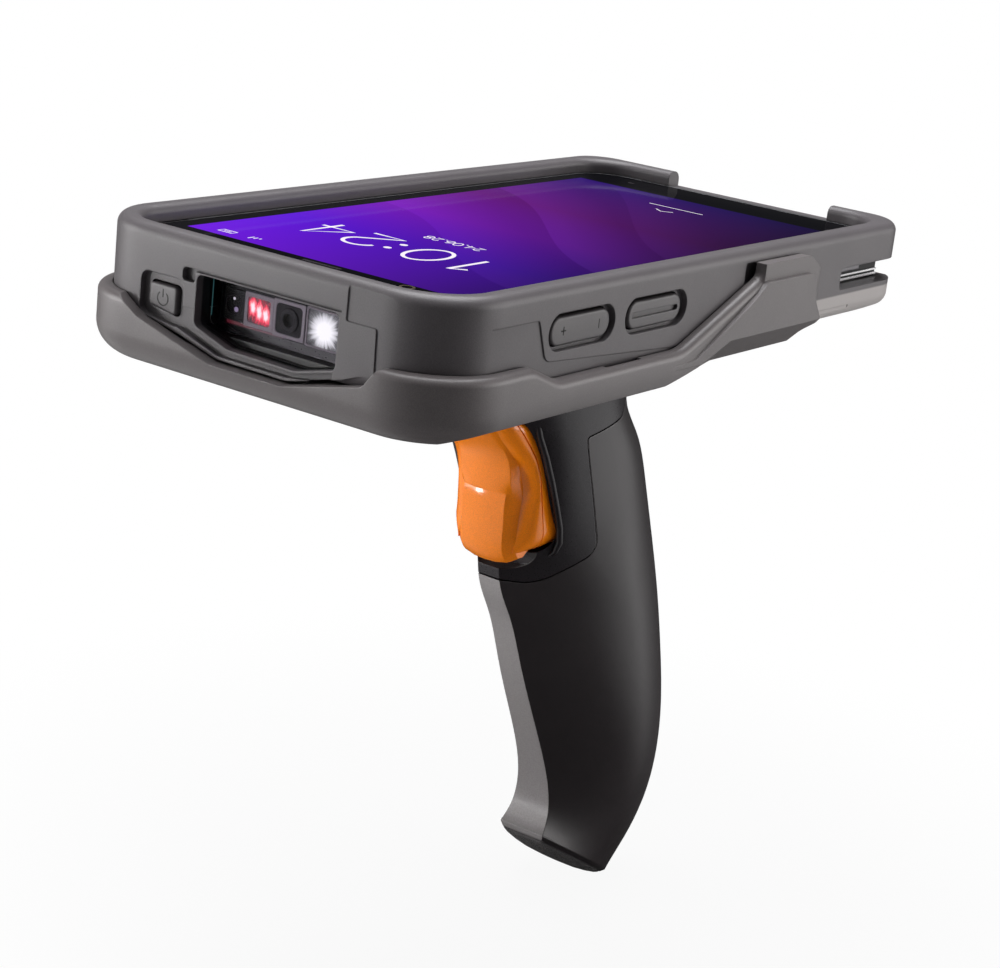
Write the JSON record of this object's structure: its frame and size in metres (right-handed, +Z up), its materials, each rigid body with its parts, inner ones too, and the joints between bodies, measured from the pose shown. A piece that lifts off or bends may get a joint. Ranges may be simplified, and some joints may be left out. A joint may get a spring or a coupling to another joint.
{
  "type": "portable barcode data terminal",
  "caption": "Hand-held barcode data terminal: touch-screen unit in a grey rubber boot, clipped in a cradle tray on a curved pistol grip with a finger trigger.",
  "frame": {"origin": "middle of the hand grip, where a hand closes round it, on the symmetry plane", "axes": "+Z up out of the screen, -Y towards the scan window, +X to the side with the volume key"},
  "size_m": [0.093, 0.1726, 0.1634],
  "materials": {
    "boot_rubber": "matt moulded warm grey rubber",
    "tray_plastic": "fine matt moulded warm grey",
    "housing_plastic": "fine matt charcoal",
    "sleeve_soft": "soft-touch charcoal overmould",
    "trigger_orange": "glossy orange",
    "cover_glass": "polished glass over a black printed border",
    "display": "lit display",
    "terminal_plastic": "satin dark grey",
    "circuit_board": "lacquered board",
    "battery_wrap": "plastic film",
    "window_pane": "clear hard-coated pane",
    "engine_black": "matt black",
    "lens_black": "glossy black",
    "illuminator": "lit red diodes behind a diffuser",
    "led": "lit white diode",
    "key_plastic": "fine matt grey",
    "spring_steel": "bright steel",
    "screw_steel": "zinc-plated steel",
    "gold_contact": "gold plated",
    "inner_plastic": "matt black",
    "flex_film": "polyimide film"
  },
  "bodies": {
    "housing": {"rubber_boot": "boot_rubber", "display_glass": "cover_glass", "display_panel": "display", "mid_frame": "terminal_plastic", "back_cover": "terminal_plastic", "main_board": "circuit_board", "battery": "battery_wrap", "scan_window": "window_pane", "scan_engine": "engine_black", "imager_lens": "lens_black", "aim_illuminator": "illuminator", "camera_module": "lens_black", "flash_led": "led", "key_domes": "spring_steel", "contact_pads": "gold_contact", "usb_socket": "spring_steel", "cradle_tray": "tray_plastic", "cradle_plate": "inner_plastic", "plate_screws": "screw_steel", "contact_block": "inner_plastic", "contact_pins": "gold_contact", "trigger_board": "circuit_board", "handle_core": "housing_plastic", "grip_sleeve": "sleeve_soft", "base_cap": "housing_plastic", "handle_screws": "screw_steel", "trigger_pin": "screw_steel", "trigger_switch": "engine_black", "trigger_flex": "flex_film"},
    "trigger": {"trigger": "trigger_orange", "trigger_spring": "spring_steel"},
    "volume_key": {"volume_key": "key_plastic"},
    "scan_key_right": {"scan_key_right": "key_plastic"},
    "scan_key_left": {"scan_key_left": "key_plastic"},
    "power_key": {"power_key": "key_plastic"}
  },
  "joints": [
    {"name": "trigger_pull", "type": "hinge", "parent": "housing", "child": "trigger", "pos_m": [0, -0.03, 0.064], "axis": [1, 0, 0], "range_deg": [0, 6], "stiffness_Nm_per_rad": 0.6, "springref_deg": -8.59},
    {"name": "power_press", "type": "slide", "parent": "housing", "child": "power_key", "axis": [0, 1, 0], "range_m": [0, 0.0005], "stiffness_N_per_m": 900, "springref_m": -0.0003},
    {"name": "scan_right_press", "type": "slide", "parent": "housing", "child": "scan_key_right", "axis": [-1, 0, 0], "range_m": [0, 0.0005], "stiffness_N_per_m": 900, "springref_m": -0.0003},
    {"name": "scan_left_press", "type": "slide", "parent": "housing", "child": "scan_key_left", "axis": [1, 0, 0], "range_m": [0, 0.0005], "stiffness_N_per_m": 900, "springref_m": -0.0003},
    {"name": "volume_rock", "type": "hinge", "parent": "housing", "child": "volume_key", "pos_m": [0.039, -0.0809, 0.0964], "axis": [0, 0, 1], "range_deg": [-1.6, 1.6], "stiffness_Nm_per_rad": 0.25}
  ]
}
